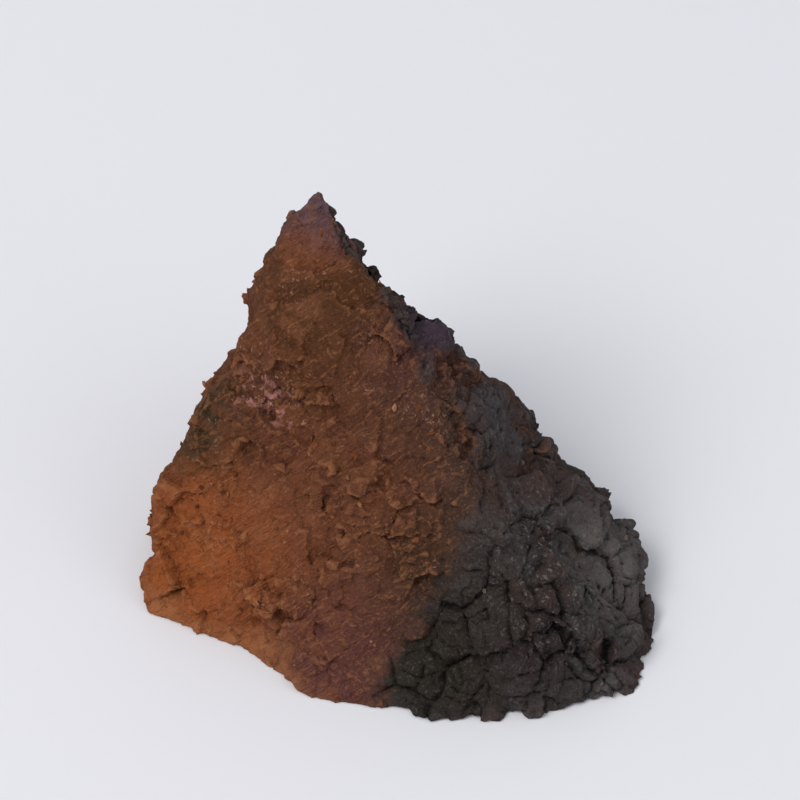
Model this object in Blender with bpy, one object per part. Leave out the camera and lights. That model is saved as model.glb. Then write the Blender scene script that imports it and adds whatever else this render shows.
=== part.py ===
"""Chaga chunk: one crushed piece of the birch conk, about 7 mm across.

It is a blunt leaning pyramid. The left and the front are torn open and show the corky inside, the right and the
back are the charred outer crust, cracked into small blocks, and it rests on a flat break.

The block is the space inside a set of break planes. Each plane is given by the way it looks, a point on it and
what it shows. A fine sphere is drawn in onto those planes from a point in the middle of the block, relief is laid
on each kind of surface, the mesh is thinned, and the foot is cut off flat.

Lengths in the constants are in millimetres and the model is in metres. +Z is up, -Y is the front, and the origin
is the middle of the underside.
"""
import math
from dataclasses import dataclass
from enum import Enum

import bmesh
import bpy
from mathutils import Vector, noise

MM = 0.001

# Point in the middle of the block that the surface is drawn in towards
CORE = Vector((-0.10, 0.20, 1.60))

# A plane that a direction from the core meets at less than this cosine is not reached by it
LEAST_FACING = 0.05

# Softening of the edge between two torn planes, and between two crust planes
TORN_EDGE = 0.05
CRUST_EDGE = 0.16

# Width over which torn cork changes to crust
SURFACE_CHANGE = 0.50

# Wander of a break plane, which makes the edges between planes ragged, and the step between their noises
WANDER_SIZE = 0.95
WANDER = 0.13
WANDER_STEP = Vector((0.0, 0.0, 11.0))

# Step between the three noises that bend a pattern
BEND_STEP = Vector((17.0, 41.0, 29.0))

# Outer crust: blocks with bent sides, each at its own level, parted by cracks that come and go
BLOCK_SIZE = 1.05
BLOCK_BEND_SIZE = 0.80
BLOCK_BEND = 0.22
BLOCK_STEP = 0.16
BLOCK_SWELL = 0.05
BLOCK_SWELL_WIDTH = 0.52
BLOCK_SHUFFLE = 7.3
CRACK_WIDTH = 0.26
CRACK_DEPTH = 0.13
CRACK_SHUT_BELOW = -0.45
CRACK_OPEN_ABOVE = 0.25
CRACK_STEP = Vector((4.0, 8.0, 2.0))
CRUST_GRAIN_SIZE = 0.36
CRUST_GRAIN = 0.11

# Torn cork: slow waves, chips that run up the chunk, ledges across them and ragged pits
WAVE_SIZE = 1.7
WAVE = 0.10
CHIP_WIDTH = 0.60
CHIP_LENGTH = 0.95
CHIP_BEND_SIZE = 0.50
CHIP_BEND = 0.16
CHIP_STEP = 0.07
CHIP_SLOPE = 0.14
CHIP_SHUFFLE = 6.1
LEDGE_SPACING = 2.10
LEDGE_UP = Vector((-0.62, 0.20, 0.76))
LEDGE = 0.11
LEDGE_RISE = 0.10
LEDGE_BEND = 0.90
LEDGE_STEP = Vector((9.0, 3.0, 5.0))
PIT_SPACING = 0.95
PIT_BEND_SIZE = 0.40
PIT_BEND = 0.26
PIT_RADIUS = 0.36
PIT_DEPTH = 0.12
PIT_SHUFFLE = 5.1
PIT_ABOVE = 0.12

# Foot: how far the block runs on below the level that it is cut at, how near to that level a point counts as on it,
# and the least edge of the cut
UNDERSIDE = -0.60
CUT_REACH = 0.01
RIM_WELD = 0.03

# Mesh: fineness of the sphere, and the share of its faces that is kept
SPHERE_LEVEL = 7
KEPT_SHARE = 0.135

# Plain finish of the solid
CORK_COLOUR = (0.130, 0.052, 0.026)
CORK_ROUGHNESS = 0.85


class Surface(Enum):
    """What a break plane shows."""

    CORK = "cork"
    CRUST = "crust"


@dataclass(frozen=True)
class Break:
    """A break plane: degrees turned to the right of the front, degrees tilted up, a point on it, what it shows."""

    turn: float
    tilt: float
    through: tuple
    surface: Surface

    def normal(self):
        """Direction that the plane looks in."""
        turn = math.radians(self.turn)
        tilt = math.radians(self.tilt)
        level = math.cos(tilt)
        return Vector((math.sin(turn) * level, -math.cos(turn) * level, math.sin(tilt)))

    def reach(self):
        """Distance of the plane from the core."""
        return self.normal().dot(Vector(self.through) - CORE)


@dataclass(frozen=True)
class Spot:
    """A single knob, or with a negative height a bite, of a given reach around a point."""

    at: tuple
    reach: float
    height: float


BREAKS = {
    "tip": Break(-60, 80, (-1.15, 0.95, 5.76), Surface.CORK),
    "upper front": Break(-15, 28, (-1.17, 0.93, 6.06), Surface.CORK),
    "lower front left": Break(-34, 25, (-2.37, 0.45, 3.50), Surface.CORK),
    "front foot": Break(-26, 12, (-1.35, -2.60, 0.00), Surface.CORK),
    "ridge": Break(12, 31, (0.25, -1.85, 2.62), Surface.CORK),
    "left high": Break(-113, 21, (-1.54, 0.88, 5.76), Surface.CORK),
    "left": Break(-109, 18, (-3.05, 0.00, 1.92), Surface.CORK),
    "left low": Break(-104, 14, (-3.45, -0.40, 0.75), Surface.CORK),
    "left foot": Break(-93, 2, (-3.42, -0.60, 0.10), Surface.CORK),
    "back left": Break(-149, 10, (-1.60, 2.75, 0.00), Surface.CORK),
    "back left high": Break(-141, 24, (-1.17, 0.95, 6.15), Surface.CORK),
    "right front high": Break(70, 37, (2.62, 0.05, 1.50), Surface.CRUST),
    "right front low": Break(50, 27, (3.62, -2.10, 0.10), Surface.CRUST),
    "right front foot": Break(16, 14, (1.20, -2.98, 0.00), Surface.CRUST),
    "right foot": Break(84, 6, (3.42, -2.20, 0.00), Surface.CRUST),
    "right": Break(97, 6, (3.42, -1.00, 0.20), Surface.CRUST),
    "right mid": Break(119, 22, (2.70, 0.05, 1.46), Surface.CRUST),
    "right high": Break(129, 28, (1.31, 0.57, 2.83), Surface.CRUST),
    "back right": Break(133, 14, (1.88, 2.03, 0.00), Surface.CRUST),
    "back": Break(165, 17, (-0.20, 3.25, 0.00), Surface.CRUST),
    "underside": Break(0, -90, (0.00, 0.00, UNDERSIDE), Surface.CORK),
}

SPOTS = {
    "hollow below the tip": Spot((-0.10, 0.80, 4.80), 1.00, -0.34),
    "knob on the crest": Spot((0.55, 0.75, 3.92), 0.42, 0.17),
    "notch under the knob": Spot((0.92, 1.20, 2.80), 0.65, -0.28),
    "notch in the crest": Spot((2.16, 0.45, 1.80), 0.55, -0.32),
    "heel at the right foot": Spot((3.15, -2.05, 0.20), 0.85, 0.30),
    "hollow at the left shoulder": Spot((-2.35, 1.00, 3.00), 1.00, -0.30),
    "step below the upper front": Spot((-1.85, -0.15, 3.35), 0.55, -0.14),
    "cheek": Spot((-2.75, -0.45, 2.30), 0.70, 0.08),
    "toe": Spot((-1.30, -2.35, 0.45), 0.60, 0.10),
    "lump on the crust": Spot((2.10, -1.85, 1.10), 0.80, 0.14),
    "chip at the front foot": Spot((1.32, -3.10, 0.00), 0.55, -0.26),
    "lump on the back": Spot((1.00, 2.30, 1.30), 0.90, 0.16),
    "hollow in the back": Spot((-1.90, 1.95, 1.50), 0.85, -0.20),
}


def smooth_step(low, high, value):
    """0 below low, 1 above high, and a smooth rise between them."""
    share = min(max((value - low) / (high - low), 0.0), 1.0)
    return share * share * (3.0 - 2.0 * share)


def bend(point, size, reach):
    """A point moved by up to a reach, in swirls of a size, which bends a pattern that is read there."""
    place = point / size
    shift = (noise.noise(place), noise.noise(place + BEND_STEP), noise.noise(place - BEND_STEP))
    return point + reach * Vector(shift)


def crust_relief(point):
    """Height of the crust above its break plane: blocks at their own levels, parted by cracks, with a grain."""
    bent = bend(point, BLOCK_BEND_SIZE, BLOCK_BEND)
    distances, centres = noise.voronoi(bent / BLOCK_SIZE)
    inside = (distances[1] - distances[0]) * BLOCK_SIZE
    level = BLOCK_STEP * noise.noise(centres[0] * BLOCK_SHUFFLE)
    swell = BLOCK_SWELL * smooth_step(0.0, BLOCK_SWELL_WIDTH, inside)
    opening = smooth_step(CRACK_SHUT_BELOW, CRACK_OPEN_ABOVE, noise.noise(point / BLOCK_SIZE + CRACK_STEP))
    crack = CRACK_DEPTH * opening * (1.0 - smooth_step(0.0, CRACK_WIDTH, inside))
    grain = CRUST_GRAIN * noise.noise(point / CRUST_GRAIN_SIZE)
    return level + swell - crack + grain


def chip_relief(point):
    """Height of the chips that cork breaks into: small flat pieces, each at its own level and slope."""
    bent = bend(point, CHIP_BEND_SIZE, CHIP_BEND)
    place = Vector((bent.x / CHIP_WIDTH, bent.y / CHIP_WIDTH, bent.z / CHIP_LENGTH))
    centre = noise.voronoi(place)[1][0]
    mark = centre * CHIP_SHUFFLE
    slope = bend(mark, 1.0, CHIP_SLOPE) - mark
    return CHIP_STEP * noise.noise(mark) + slope.dot(place - centre)


def ledge_relief(point):
    """Height of the ledges: a slow climb up the chunk, and a short drop at each ledge."""
    climb = point.dot(LEDGE_UP) / LEDGE_SPACING + LEDGE_BEND * noise.noise(point / WAVE_SIZE + LEDGE_STEP)
    climb -= math.floor(climb)
    drop = smooth_step(1.0 - LEDGE_RISE, 1.0, climb)
    middle = 0.5 * (1.0 - LEDGE_RISE)
    return LEDGE * (climb - drop - middle)


def pit_depth(point):
    """Depth of the ragged pits where small bits have come out."""
    bent = bend(point, PIT_BEND_SIZE, PIT_BEND)
    distances, centres = noise.voronoi(bent / PIT_SPACING)
    if noise.noise(centres[0] * PIT_SHUFFLE) < PIT_ABOVE:
        return 0.0
    return PIT_DEPTH * (1.0 - smooth_step(0.0, PIT_RADIUS, distances[0] * PIT_SPACING))


def cork_relief(point):
    """Height of the torn cork above its break plane: waves, chips, ledges and pits."""
    wave = WAVE * noise.noise(point / WAVE_SIZE)
    return wave + chip_relief(point) + ledge_relief(point) - pit_depth(point)


def spot_relief(point):
    """Height that the single knobs and bites add at a point."""
    height = 0.0
    for spot in SPOTS.values():
        distance = (point - Vector(spot.at)).length
        height += spot.height * (1.0 - smooth_step(0.0, spot.reach, distance))
    return height


def soft_nearest(distances, softness):
    """The smallest of some distances, rounded off where two are nearly equal, or infinity if there are none."""
    if not distances:
        return math.inf
    nearest = min(distances)
    total = sum(math.exp((nearest - distance) / softness) for distance in distances)
    return nearest - softness * math.log(total)


def surface_point(direction, planes):
    """Point of the finished surface that lies in a direction from the core, in millimetres."""
    hits = {Surface.CORK: [], Surface.CRUST: []}
    facing = 1.0
    nearest = math.inf
    for number, (normal, reach, surface) in enumerate(planes):
        toward = normal.dot(direction)
        if toward < LEAST_FACING:
            continue
        distance = reach / toward
        place = (CORE + direction * distance) / WANDER_SIZE + number * WANDER_STEP
        distance += WANDER * noise.noise(place) / toward
        hits[surface].append(distance)
        if distance < nearest:
            nearest = distance
            facing = toward
    cork = soft_nearest(hits[Surface.CORK], TORN_EDGE)
    crust = soft_nearest(hits[Surface.CRUST], CRUST_EDGE)
    distance = soft_nearest((cork, crust), TORN_EDGE)
    point = CORE + direction * distance
    crust_share = smooth_step(-0.5 * SURFACE_CHANGE, 0.5 * SURFACE_CHANGE, cork - crust)
    relief = crust_share * crust_relief(point) + (1.0 - crust_share) * cork_relief(point) + spot_relief(point)
    return point + direction * (relief / facing)


def draw_block():
    """Fine mesh of the block, from a sphere whose points are drawn in onto the break planes."""
    planes = [(plane.normal(), plane.reach(), plane.surface) for plane in BREAKS.values()]
    bm = bmesh.new()
    bmesh.ops.create_icosphere(bm, subdivisions=SPHERE_LEVEL, radius=1.0)
    for vertex in bm.verts:
        vertex.co = surface_point(vertex.co.normalized(), planes) * MM
    mesh = bpy.data.meshes.new("fine_block")
    bm.to_mesh(mesh)
    bm.free()
    return mesh


def thin(mesh):
    """The mesh with only as many faces as its shape needs."""
    block = bpy.data.objects.new("fine_block", mesh)
    bpy.context.scene.collection.objects.link(block)
    decimate = block.modifiers.new("thin", "DECIMATE")
    decimate.ratio = KEPT_SHARE
    decimate.use_collapse_triangulate = True
    evaluated = block.evaluated_get(bpy.context.evaluated_depsgraph_get())
    thinned = bpy.data.meshes.new_from_object(evaluated)
    bpy.data.objects.remove(block)
    return thinned


def cut_foot(bm):
    """Cuts the block off flat at the level that it rests on, and closes the cut."""
    geometry = bm.verts[:] + bm.edges[:] + bm.faces[:]
    bmesh.ops.bisect_plane(
        bm, geom=geometry, dist=CUT_REACH * MM, plane_co=(0, 0, 0), plane_no=(0, 0, 1), clear_inner=True
    )
    rim = [vertex for vertex in bm.verts if vertex.is_boundary]
    bmesh.ops.remove_doubles(bm, verts=rim, dist=RIM_WELD * MM)
    for vertex in bm.verts:
        if vertex.is_boundary:
            vertex.co.z = 0.0
    border = [edge for edge in bm.edges if edge.is_boundary]
    bmesh.ops.holes_fill(bm, edges=border)
    bmesh.ops.triangulate(bm, faces=bm.faces[:])
    bmesh.ops.recalc_face_normals(bm, faces=bm.faces[:])


def centre_on_foot(bm):
    """Moves the block so that the origin is the middle of its underside."""
    across = [vertex.co.x for vertex in bm.verts]
    deep = [vertex.co.y for vertex in bm.verts]
    middle = Vector((min(across) + max(across), min(deep) + max(deep), 0.0)) / 2
    bmesh.ops.translate(bm, verts=bm.verts[:], vec=-middle)


def finish(name, colour, roughness):
    """Plain material with a colour and a roughness."""
    material = bpy.data.materials.new(name)
    material.use_nodes = True
    shader = material.node_tree.nodes["Principled BSDF"]
    shader.inputs["Base Color"].default_value = (*colour, 1.0)
    shader.inputs["Roughness"].default_value = roughness
    shader.inputs["Metallic"].default_value = 0.0
    return material


def build_chunk():
    """The whole chunk as one closed solid."""
    mesh = thin(draw_block())
    bm = bmesh.new()
    bm.from_mesh(mesh)
    cut_foot(bm)
    centre_on_foot(bm)
    bm.to_mesh(mesh)
    bm.free()
    mesh.name = "chaga_chunk"
    mesh.materials.append(finish("chaga_cork", CORK_COLOUR, CORK_ROUGHNESS))
    chunk = bpy.data.objects.new("chaga_chunk", mesh)
    bpy.context.scene.collection.objects.link(chunk)


def main():
    """Clears the scene and builds the chunk."""
    for old in list(bpy.data.objects):
        bpy.data.objects.remove(old)
    build_chunk()


main()
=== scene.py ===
"""Looks of the chaga chunk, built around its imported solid.

The chunk is one crushed piece of chaga, 7 mm across. The left and the front are torn cork, orange where it
lay deepest and browner towards the outside. The right and the back are the charred crust.

The solid is copied in millimetres, turned into a fine even mesh, and given its shards, fibres, pits and
cracks by a Geometry Nodes tree. A second tree strews the crumbs that cling to it. Both meshes are then scaled
back to metres. One finish dresses the whole chunk by how deep below the crust each point lies.
"""
from __future__ import annotations

import logging
import math
from dataclasses import dataclass
from enum import Enum

import bmesh
import bpy
from mathutils import Matrix, Vector

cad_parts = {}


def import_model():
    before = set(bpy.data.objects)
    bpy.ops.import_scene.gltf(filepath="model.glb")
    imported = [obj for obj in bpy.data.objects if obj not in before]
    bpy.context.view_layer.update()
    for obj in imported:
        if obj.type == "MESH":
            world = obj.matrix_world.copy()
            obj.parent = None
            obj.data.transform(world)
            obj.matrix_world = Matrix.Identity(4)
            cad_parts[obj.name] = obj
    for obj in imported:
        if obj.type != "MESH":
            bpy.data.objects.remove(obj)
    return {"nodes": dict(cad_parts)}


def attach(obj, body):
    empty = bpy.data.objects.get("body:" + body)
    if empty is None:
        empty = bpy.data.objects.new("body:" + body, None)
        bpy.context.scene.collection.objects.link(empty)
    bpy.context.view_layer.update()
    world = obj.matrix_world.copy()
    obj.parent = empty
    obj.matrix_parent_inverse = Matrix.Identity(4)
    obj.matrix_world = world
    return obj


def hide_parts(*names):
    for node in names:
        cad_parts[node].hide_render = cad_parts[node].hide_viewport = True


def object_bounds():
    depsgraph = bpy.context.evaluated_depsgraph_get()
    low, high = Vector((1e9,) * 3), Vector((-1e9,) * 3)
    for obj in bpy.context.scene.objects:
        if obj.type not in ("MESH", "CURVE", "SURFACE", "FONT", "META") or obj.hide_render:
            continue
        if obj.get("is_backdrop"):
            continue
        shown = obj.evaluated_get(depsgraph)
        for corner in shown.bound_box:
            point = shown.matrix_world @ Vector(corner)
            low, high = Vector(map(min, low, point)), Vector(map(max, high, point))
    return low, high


NODE = "chaga_chunk"
BODY = "root"

# Millimetres in a metre, the scale between the frame and the units that the surface is worked in
MM_PER_M = 1000.0

# Direction in which the fibres of the cork run
FIBRE_AXIS = Vector((0.60, -0.20, 0.78))

# Share of an area's reach within which it shows in full
FULL_SHARE = 0.15

# Gloss of dry cork and char
DRY_GLOSS = 0.14

# Names of the values that the surface tree leaves on the mesh for the finish
CHAR = "char"
DEPTH = "depth"
RAISED = "raised"
EDGE = "edge"
TONE = "tone"

Socket = bpy.types.NodeSocket
Node = bpy.types.Node
Point = tuple[float, float, float]
Colour = tuple[float, float, float]
Value = Socket | float | int | str | tuple | bpy.types.Material

log = logging.getLogger("chaga_chunk")


def seen(red: int, green: int, blue: int) -> Colour:
    """Linear colour of a shade as a screen shows it, by the usual screen curve.

    Args:
        red: Red, from 0 to 255.
        green: Green, from 0 to 255.
        blue: Blue, from 0 to 255.

    Returns:
        The linear colour.
    """
    shade = (red / 255.0, green / 255.0, blue / 255.0)
    linear = [part / 12.92 if part <= 0.04045 else ((part + 0.055) / 1.055) ** 2.4 for part in shade]
    return linear[0], linear[1], linear[2]


class Cells(Enum):
    """What a cell pattern gives: the distance from the middle of a cell, or from its border."""

    FROM_MIDDLE = "F1"
    FROM_BORDER = "DISTANCE_TO_EDGE"


class Input(Enum):
    """Kinds of input that a Geometry Nodes tree can have, by Blender's names."""

    MESH = "NodeSocketGeometry"
    NUMBER = "NodeSocketFloat"
    FINISH = "NodeSocketMaterial"


class Graph:
    """A node tree that is being wired, with short ways to add nodes and join them. Lengths in millimetres."""

    def __init__(self, tree: bpy.types.NodeTree) -> None:
        """Takes the geometry or shader tree to add to."""
        self.tree = tree

    def add(self, kind: str, inputs: dict[str | int, Value] | None = None, **settings: object) -> Node:
        """Adds a node.

        Args:
            kind: Blender's name of the node type.
            inputs: What each input is fed with, by its name or its place.
            settings: Properties of the node.

        Returns:
            The node.
        """
        node = self.tree.nodes.new(kind)
        for name, setting in settings.items():
            setattr(node, name, setting)
        for key, value in (inputs or {}).items():
            self.feed(node.inputs[key], value)
        return node

    def feed(self, socket: Socket, value: Value) -> None:
        """Joins an output to an input, or sets the input to a value.

        Args:
            socket: The input.
            value: An output, or a plain value.
        """
        if isinstance(value, Socket):
            self.tree.links.new(value, socket)
        else:
            socket.default_value = value

    def math(self, operation: str, first: Value, second: Value = 0.0, third: Value = 0.0) -> Socket:
        """Result of a calculation with up to three numbers, by Blender's name of it."""
        return self.add("ShaderNodeMath", {0: first, 1: second, 2: third}, operation=operation).outputs[0]

    def less(self, first: Value, second: Value) -> Socket:
        """The first number less the second."""
        return self.math("SUBTRACT", first, second)

    def total(self, *numbers: Value) -> Socket:
        """Sum of some numbers.

        Args:
            numbers: The numbers.

        Returns:
            The sum.
        """
        result = numbers[0]
        for number in numbers[1:]:
            result = self.math("ADD", result, number)
        return result

    def product(self, *numbers: Value) -> Socket:
        """Product of some numbers.

        Args:
            numbers: The numbers.

        Returns:
            The product.
        """
        result = numbers[0]
        for number in numbers[1:]:
            result = self.math("MULTIPLY", result, number)
        return result

    def mix(self, share: Value, low: Value, high: Value) -> Socket:
        """A number between two others."""
        return self.add("ShaderNodeMix", {0: share, 2: low, 3: high}, data_type="FLOAT").outputs[0]

    def rise(self, value: Value, low: Value, high: Value, start: Value = 0.0, end: Value = 1.0) -> Socket:
        """A smooth rise of the result from start to end while a value goes from low to high."""
        inputs = {"Value": value, "From Min": low, "From Max": high, "To Min": start, "To Max": end}
        return self.add("ShaderNodeMapRange", inputs, interpolation_type="SMOOTHSTEP").outputs["Result"]

    def vector(self, operation: str, first: Value, second: Value, result: str = "Vector") -> Socket:
        """Result of a calculation with two vectors, by Blender's name of it and of the output."""
        return self.add("ShaderNodeVectorMath", {0: first, 1: second}, operation=operation).outputs[result]

    def dot(self, first: Value, second: Value) -> Socket:
        """Dot product of two vectors."""
        return self.vector("DOT_PRODUCT", first, second, "Value")

    def distance(self, first: Value, second: Value) -> Socket:
        """Distance between two places."""
        return self.vector("DISTANCE", first, second, "Value")

    def scaled(self, vector: Value, factor: Value) -> Socket:
        """A vector times a number."""
        node = self.add("ShaderNodeVectorMath", {0: vector, "Scale": factor}, operation="SCALE")
        return node.outputs["Vector"]

    def centred(self, colour: Socket) -> Socket:
        """A vector from a colour, each part of which is moved from between 0 and 1 to around zero."""
        return self.vector("SUBTRACT", colour, (0.5, 0.5, 0.5))

    def parts(self, vector: Value) -> tuple[Socket, Socket, Socket]:
        """The three numbers of a vector or a colour."""
        outputs = self.add("ShaderNodeSeparateXYZ", {0: vector}).outputs
        return outputs[0], outputs[1], outputs[2]

    def tint(self, share: Value, low: Value, high: Value) -> Socket:
        """A colour laid over another.

        Args:
            share: How much of the upper colour shows, from 0 to 1.
            low: Colour below, as a socket or three numbers.
            high: Colour on top, as a socket or three numbers.

        Returns:
            The mixed colour.
        """
        below = low if isinstance(low, Socket) else (*low, 1.0)
        above = high if isinstance(high, Socket) else (*high, 1.0)
        return self.add("ShaderNodeMix", {0: share, 6: below, 7: above}, data_type="RGBA").outputs[2]

    def ramp(self, share: Value, stops: tuple[tuple[float, Colour], ...]) -> Socket:
        """A colour from a row of them.

        Args:
            share: Place in the row, from 0 to 1.
            stops: Place and colour of each one, in their order.

        Returns:
            The colour.
        """
        node = self.add("ShaderNodeValToRGB", {0: share})
        elements = node.color_ramp.elements
        elements.remove(elements[1])
        elements[0].position = stops[0][0]
        elements[0].color = (*stops[0][1], 1.0)
        for position, colour in stops[1:]:
            elements.new(position).color = (*colour, 1.0)
        return node.outputs["Color"]

    def noise(self, place: Socket, size: float, detail: float = 1.0, roughness: float = 0.5) -> Node:
        """Cloudy noise with swirls of a size, whose outputs are a number around one half and a colour."""
        inputs = {"Vector": place, "Scale": 1.0 / size, "Detail": detail, "Roughness": roughness}
        return self.add("ShaderNodeTexNoise", inputs, noise_dimensions="3D")

    def swirls(self, place: Socket, size: float, detail: float = 1.0) -> Socket:
        """Cloudy noise as a vector, each part of which goes up and down by one."""
        return self.scaled(self.centred(self.noise(place, size, detail).outputs[1]), 2.0)

    def cells(self, place: Socket, size: float, kind: Cells = Cells.FROM_MIDDLE) -> Node:
        """Irregular cells, whose distance is a share of their size and whose colour is one for each cell."""
        inputs = {"Vector": place, "Scale": 1.0 / size}
        return self.add("ShaderNodeTexVoronoi", inputs, voronoi_dimensions="3D", feature=kind.value)

    def here(self) -> Socket:
        """Place of a point, at that stage of a geometry tree."""
        return self.add("GeometryNodeInputPosition").outputs[0]

    def normal(self) -> Socket:
        """Direction that the surface looks in at a point, at that stage of a geometry tree."""
        return self.add("GeometryNodeInputNormal").outputs[0]

    def moved(self, geometry: Socket, offset: Socket) -> Socket:
        """Geometry with its points moved."""
        return self.add("GeometryNodeSetPosition", {"Geometry": geometry, "Offset": offset}).outputs[0]

    def put(self, geometry: Socket, place: Socket) -> Socket:
        """Geometry with its points put at a place."""
        return self.add("GeometryNodeSetPosition", {"Geometry": geometry, "Position": place}).outputs[0]

    def keep(self, geometry: Socket, name: str, value: Socket, domain: str = "POINT") -> Socket:
        """Keeps a number on the points of a mesh, or on its instances.

        Args:
            geometry: The mesh or the instances.
            name: Name of the number.
            value: The number.
            domain: What it is kept on, by Blender's name.

        Returns:
            The geometry with it.
        """
        inputs = {"Geometry": geometry, "Name": name, "Value": value}
        node = self.add("GeometryNodeStoreNamedAttribute", inputs, data_type="FLOAT", domain=domain)
        return node.outputs[0]

    def finished(self, geometry: Socket, finish: Socket) -> None:
        """Ends a geometry tree with real meshes only, all in one finish.

        Args:
            geometry: What the tree gives.
            finish: Its material.
        """
        real = self.add("GeometryNodeRealizeInstances", {"Geometry": geometry}).outputs[0]
        dressed = self.add("GeometryNodeSetMaterial", {"Geometry": real, "Material": finish}).outputs[0]
        self.add("NodeGroupOutput", {0: dressed})

    def kept(self, name: str) -> Socket:
        """A number that was kept on the mesh, for a shader tree."""
        return self.add("ShaderNodeAttribute", attribute_name=name).outputs["Fac"]

    def on_piece(self) -> Socket:
        """Place on the piece, for a shader tree."""
        return self.scaled(self.add("ShaderNodeTexCoord").outputs["Object"], MM_PER_M)


@dataclass(frozen=True)
class Rise:
    """A smooth rise or fall, which gives start up to low and end from high."""

    low: float
    high: float
    start: float = 0.0
    end: float = 1.0

    def of(self, graph: Graph, value: Value) -> Socket:
        """What it gives for a value."""
        return graph.rise(value, self.low, self.high, self.start, self.end)


@dataclass(frozen=True)
class Cloud:
    """Cloudy noise around one half: size of its swirls in mm, count and strength of its finer layers."""

    size: float
    detail: float = 1.0
    roughness: float = 0.5

    def at(self, graph: Graph, place: Socket) -> Socket:
        """The noise at a place."""
        return graph.noise(place, self.size, self.detail, self.roughness).outputs[0]


@dataclass(frozen=True)
class Patches:
    """Patches where cloudy noise is high, or low."""

    cloud: Cloud
    rise: Rise

    def share(self, graph: Graph, place: Socket) -> Socket:
        """How strongly they show at a place."""
        return self.rise.of(graph, self.cloud.at(graph, place))


@dataclass(frozen=True)
class Wander:
    """Noise around zero, and how far it goes up and down."""

    cloud: Cloud
    reach: float

    def at(self, graph: Graph, place: Socket) -> Socket:
        """The noise at a place."""
        return graph.product(graph.less(self.cloud.at(graph, place), 0.5), 2.0 * self.reach)


@dataclass(frozen=True)
class Bend:
    """Swirls that bend a pattern: their size and how far they move a place, in millimetres."""

    size: float
    reach: float

    def of(self, graph: Graph, place: Socket) -> Socket:
        """The place where the bent pattern is read."""
        return graph.vector("ADD", place, graph.scaled(graph.swirls(place, self.size), self.reach))


@dataclass(frozen=True)
class Fibres:
    """Noise drawn out into fibres: their width and length in millimetres."""

    width: float
    length: float
    detail: float = 2.0

    def at(self, graph: Graph, place: Socket) -> Socket:
        """The noise at a place.

        Args:
            graph: The tree to add to.
            place: The place in millimetres.

        Returns:
            The noise, around one half.
        """
        forward = FIBRE_AXIS.normalized()
        side = forward.orthogonal().normalized()
        up = forward.cross(side)
        parts = (
            graph.dot(place, tuple(side / self.width)),
            graph.dot(place, tuple(up / self.width)),
            graph.dot(place, tuple(forward / self.length)),
        )
        drawn_out = graph.add("ShaderNodeCombineXYZ", dict(enumerate(parts))).outputs[0]
        return graph.noise(drawn_out, 1.0, self.detail).outputs[0]


@dataclass(frozen=True)
class Area:
    """Part of the chunk around a point, in millimetres, and how strongly something shows in its middle."""

    middle: Point
    reach: float
    strength: float

    def share(self, graph: Graph, place: Socket) -> Socket:
        """How strongly it shows at a place, which falls to nothing at its reach."""
        away = graph.distance(place, self.middle)
        return graph.rise(away, FULL_SHARE * self.reach, self.reach, self.strength, 0.0)


@dataclass(frozen=True)
class CrustFace:
    """A flat of the outer crust: degrees turned right of the front, degrees tilted up, a point on it in mm."""

    turn: float
    tilt: float
    through: Point

    def depth(self, graph: Graph, place: Socket) -> Socket:
        """How far a place lies below the flat."""
        normal = direction(self.turn, self.tilt)
        return graph.less(normal.dot(Vector(self.through)), graph.dot(place, tuple(normal)))


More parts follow.
